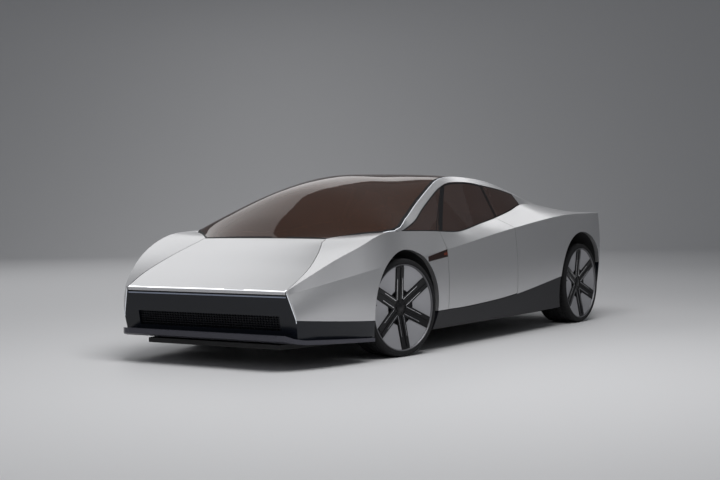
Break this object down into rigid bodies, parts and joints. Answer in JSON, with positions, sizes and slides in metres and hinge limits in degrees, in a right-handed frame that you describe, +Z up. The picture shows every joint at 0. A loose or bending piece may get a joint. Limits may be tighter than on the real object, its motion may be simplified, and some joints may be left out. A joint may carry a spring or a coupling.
{
  "type": "two-door wedge supercar",
  "caption": "Low wedge-shaped two-door supercar on large star-spoke wheels, with opening doors, hood and tail lid, steered front wheels and a hollow glazed cabin",
  "frame": {"origin": "on the floor under the middle of the body's length and width", "axes": "+X forward along the car, +Y to the car's left, +Z up"},
  "size_m": [4.96, 2.0471, 1.353],
  "materials": {
    "body_paint": "satin",
    "gloss_black": "gloss",
    "dark_satin": "satin",
    "tinted_glass": "gloss",
    "lamp_white": "gloss",
    "lamp_red": "gloss",
    "lamp_amber": "gloss",
    "underbody": "matte",
    "metal_case": "satin",
    "cast_metal": "cast",
    "cabin_trim": "matte",
    "seat_leather": "grained",
    "wheel_metal": "satin",
    "tyre_rubber": "matte"
  },
  "bodies": {
    "body": {"fender_left": "body_paint", "fender_right": "body_paint", "front_bumper": "gloss_black", "light_bar": "lamp_white", "splitter": "dark_satin", "roof_frame": "body_paint", "roof_glass": "tinted_glass", "side_glass_left": "tinted_glass", "side_glass_right": "tinted_glass", "quarter_left": "body_paint", "quarter_right": "body_paint", "rear_bumper": "gloss_black", "tail_lamp": "lamp_red", "sill_left": "dark_satin", "sill_right": "dark_satin", "fender_markers": "lamp_amber", "floor_pan": "underbody", "battery": "metal_case", "front_tub": "underbody", "rear_tub": "underbody", "subframe_front": "cast_metal", "subframe_rear": "cast_metal", "dashboard": "cabin_trim", "seat_left": "seat_leather", "seat_right": "seat_leather", "rear_seat": "seat_leather", "steering_wheel": "cabin_trim", "knuckle_rear_left": "cast_metal", "knuckle_rear_right": "cast_metal"},
    "door_left": {"door_left": "body_paint", "door_glass_left": "tinted_glass"},
    "steer_left": {"knuckle_front_left": "cast_metal"},
    "wheel_front_left": {"wheel_front_left": "wheel_metal", "tyre_front_left": "tyre_rubber"},
    "wheel_rear_left": {"wheel_rear_left": "wheel_metal", "tyre_rear_left": "tyre_rubber"},
    "door_right": {"door_right": "body_paint", "door_glass_right": "tinted_glass"},
    "steer_right": {"knuckle_front_right": "cast_metal"},
    "wheel_front_right": {"wheel_front_right": "wheel_metal", "tyre_front_right": "tyre_rubber"},
    "wheel_rear_right": {"wheel_rear_right": "wheel_metal", "tyre_rear_right": "tyre_rubber"},
    "hood": {"hood": "body_paint"},
    "tail_lid": {"tail_lid": "body_paint"}
  },
  "joints": [
    {"name": "steering_left", "type": "hinge", "parent": "body", "child": "steer_left", "pos_m": [1.28, 0.81, 0.358], "axis": [0, 0, 1], "range_deg": [-22, 42]},
    {"name": "steering_right", "type": "hinge", "parent": "body", "child": "steer_right", "pos_m": [1.28, -0.81, 0.358], "axis": [0, 0, 1], "range_deg": [-22, 42]},
    {"name": "wheel_spin_front_left", "type": "hinge", "parent": "steer_left", "child": "wheel_front_left", "pos_m": [1.3078, 0.96147, 0.358], "axis": [0.1805, 0.9836, 0], "continuous": true},
    {"name": "wheel_spin_front_right", "type": "hinge", "parent": "steer_right", "child": "wheel_front_right", "pos_m": [1.2522, -0.96147, 0.358], "axis": [0.1805, 0.9836, 0], "continuous": true},
    {"name": "wheel_spin_rear_left", "type": "hinge", "parent": "body", "child": "wheel_rear_left", "pos_m": [-1.72, 0.964, 0.358], "axis": [0, 1, 0], "continuous": true},
    {"name": "wheel_spin_rear_right", "type": "hinge", "parent": "body", "child": "wheel_rear_right", "pos_m": [-1.72, -0.964, 0.358], "axis": [0, 1, 0], "continuous": true},
    {"name": "door_swing_left", "type": "hinge", "parent": "body", "child": "door_left", "pos_m": [0.71, 1, 0.6], "axis": [0, 0, -1], "range_deg": [0, 65]},
    {"name": "door_swing_right", "type": "hinge", "parent": "body", "child": "door_right", "pos_m": [0.71, -1, 0.6], "axis": [0, 0, 1], "range_deg": [0, 65]},
    {"name": "hood_lift", "type": "hinge", "parent": "body", "child": "hood", "pos_m": [1.7205, 0, 0.868], "axis": [0, -1, 0], "range_deg": [0, 50]},
    {"name": "tail_lid_lift", "type": "hinge", "parent": "body", "child": "tail_lid", "pos_m": [-1.845, 0, 1.012], "axis": [0, 1, 0], "range_deg": [0, 60]}
  ],
  "couplings": [
    {"joint": "steering_right", "follows": "steering_left", "ratio": 1}
  ]
}
